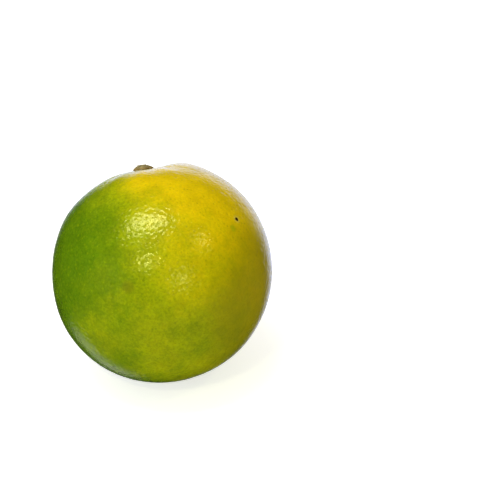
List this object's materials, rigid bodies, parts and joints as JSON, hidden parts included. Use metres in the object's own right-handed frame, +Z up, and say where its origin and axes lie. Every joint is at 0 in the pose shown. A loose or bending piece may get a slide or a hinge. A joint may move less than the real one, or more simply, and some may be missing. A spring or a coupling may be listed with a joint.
{
  "type": "sweet orange",
  "caption": "Whole round sweet orange, green with a yellow shoulder, pitted skin, dried calyx and stalk stub, leaning back on a small flat spot.",
  "frame": {"origin": "middle of the small flat spot that the fruit rests on", "axes": "+Z up from the surface; -Y towards the side that the picture shows; the core leans back towards +Y and a little towards -X from upright"},
  "size_m": [0.0719, 0.0716, 0.0712],
  "materials": {
    "peel": "satin",
    "dried_calyx": "matte",
    "stalk_wood": "matte"
  },
  "bodies": {
    "root": {"fruit": "peel", "calyx": "dried_calyx", "stalk_stub": "stalk_wood"}
  },
  "joints": []
}
